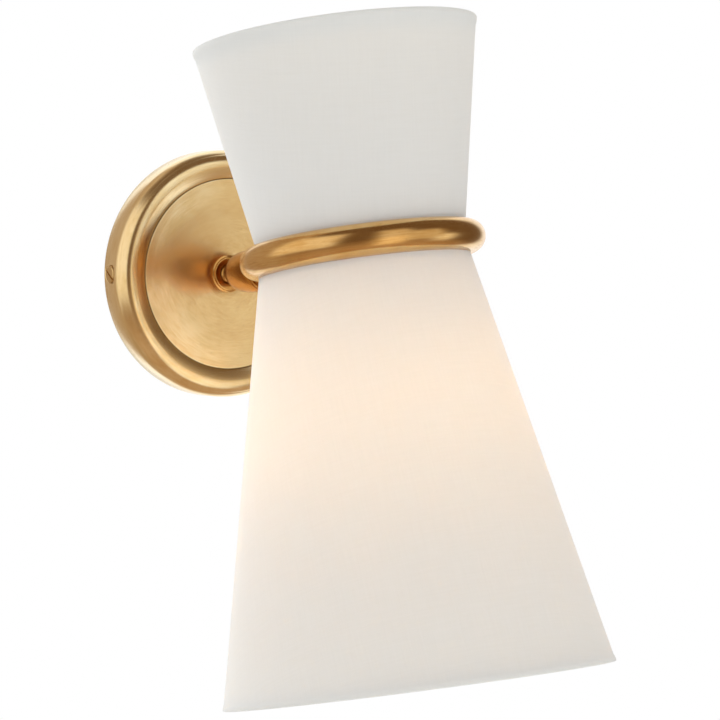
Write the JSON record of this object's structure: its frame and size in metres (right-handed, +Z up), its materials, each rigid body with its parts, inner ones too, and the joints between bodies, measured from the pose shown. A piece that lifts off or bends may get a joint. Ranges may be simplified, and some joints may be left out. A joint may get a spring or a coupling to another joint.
{
  "type": "pivoting wall light",
  "caption": "Wall light with an hourglass linen shade held at its waist by a brass ring, on an arm that pivots on a ball joint in a round stepped backplate.",
  "frame": {"origin": "middle of the backplate's rear face, on the wall, which is also the middle of the bracket's two box slots", "axes": "+Z up, +Y into the wall, the light stands out along -Y and +X is to the right as seen from the room"},
  "size_m": [0.1801, 0.2649, 0.3217],
  "materials": {
    "satin_brass": "hand-rubbed satin",
    "polished_brass": "hand-rubbed, half polished",
    "plain_brass": "as turned",
    "zinc_steel": "zinc plated",
    "green_screw": "green dyed",
    "green_lead": "extruded cover",
    "lead_cover": "extruded cover",
    "connector_plastic": "moulded",
    "nylon": "natural",
    "white_frame": "white powder coat",
    "linen": "plain woven on a stiff backing",
    "phenolic": "moulded",
    "nickel": "plated",
    "solder": "soldered",
    "frosted_glass": "frosted inside",
    "clear_glass": "clear",
    "filament": "tungsten, lit"
  },
  "bodies": {
    "wall_unit": {"wall_bracket": "zinc_steel", "ground_screw": "green_screw", "ground_lead": "green_lead", "backplate": "satin_brass", "side_screws": "satin_brass", "hub_cup": "polished_brass", "hub_locknut": "plain_brass", "pressure_pad": "nylon", "spring_washer": "zinc_steel", "tension_nut": "plain_brass", "wire_connectors": "connector_plastic", "canopy_leads": "lead_cover"},
    "liner": {"ball_liner": "nylon"},
    "stud": {"ball_stud": "polished_brass", "bell_cup": "polished_brass", "spindle_nut": "zinc_steel", "stud_leads": "lead_cover"},
    "head": {"swivel_washer": "nylon", "arm_collar": "polished_brass", "arm_tube": "polished_brass", "arm_leads": "lead_cover", "ring_saddle": "polished_brass", "cross_pipe": "zinc_steel", "waist_ring": "polished_brass", "centre_body": "plain_brass", "stay_rods": "plain_brass", "upper_nipple": "zinc_steel", "lower_nipple": "zinc_steel", "upper_fitter": "white_frame", "lower_fitter": "white_frame", "divider": "white_frame", "cap_nut": "plain_brass", "socket_nut": "zinc_steel", "upper_shade": "linen", "lower_shade": "linen", "upper_rim_wire": "white_frame", "lower_rim_wire": "white_frame", "socket_cap": "plain_brass", "socket_body": "phenolic", "socket_shell": "plain_brass", "socket_contact": "plain_brass", "lamp_base": "nickel", "lamp_tip": "solder", "lamp_glass": "frosted_glass", "lamp_stem": "clear_glass", "lamp_filament": "filament"}
  },
  "joints": [
    {"name": "arm_swing", "type": "hinge", "parent": "wall_unit", "child": "liner", "pos_m": [0, -0.0115, 0], "axis": [0, 0, 1], "range_deg": [-14, 14]},
    {"name": "arm_tilt", "type": "hinge", "parent": "liner", "child": "stud", "pos_m": [0, -0.0115, 0], "axis": [1, 0, 0], "range_deg": [-12, 16]},
    {"name": "head_turn", "type": "hinge", "parent": "stud", "child": "head", "pos_m": [0, -0.0115, 0], "axis": [0, -0.9983, 0.0576], "range_deg": [-40, 40]}
  ]
}
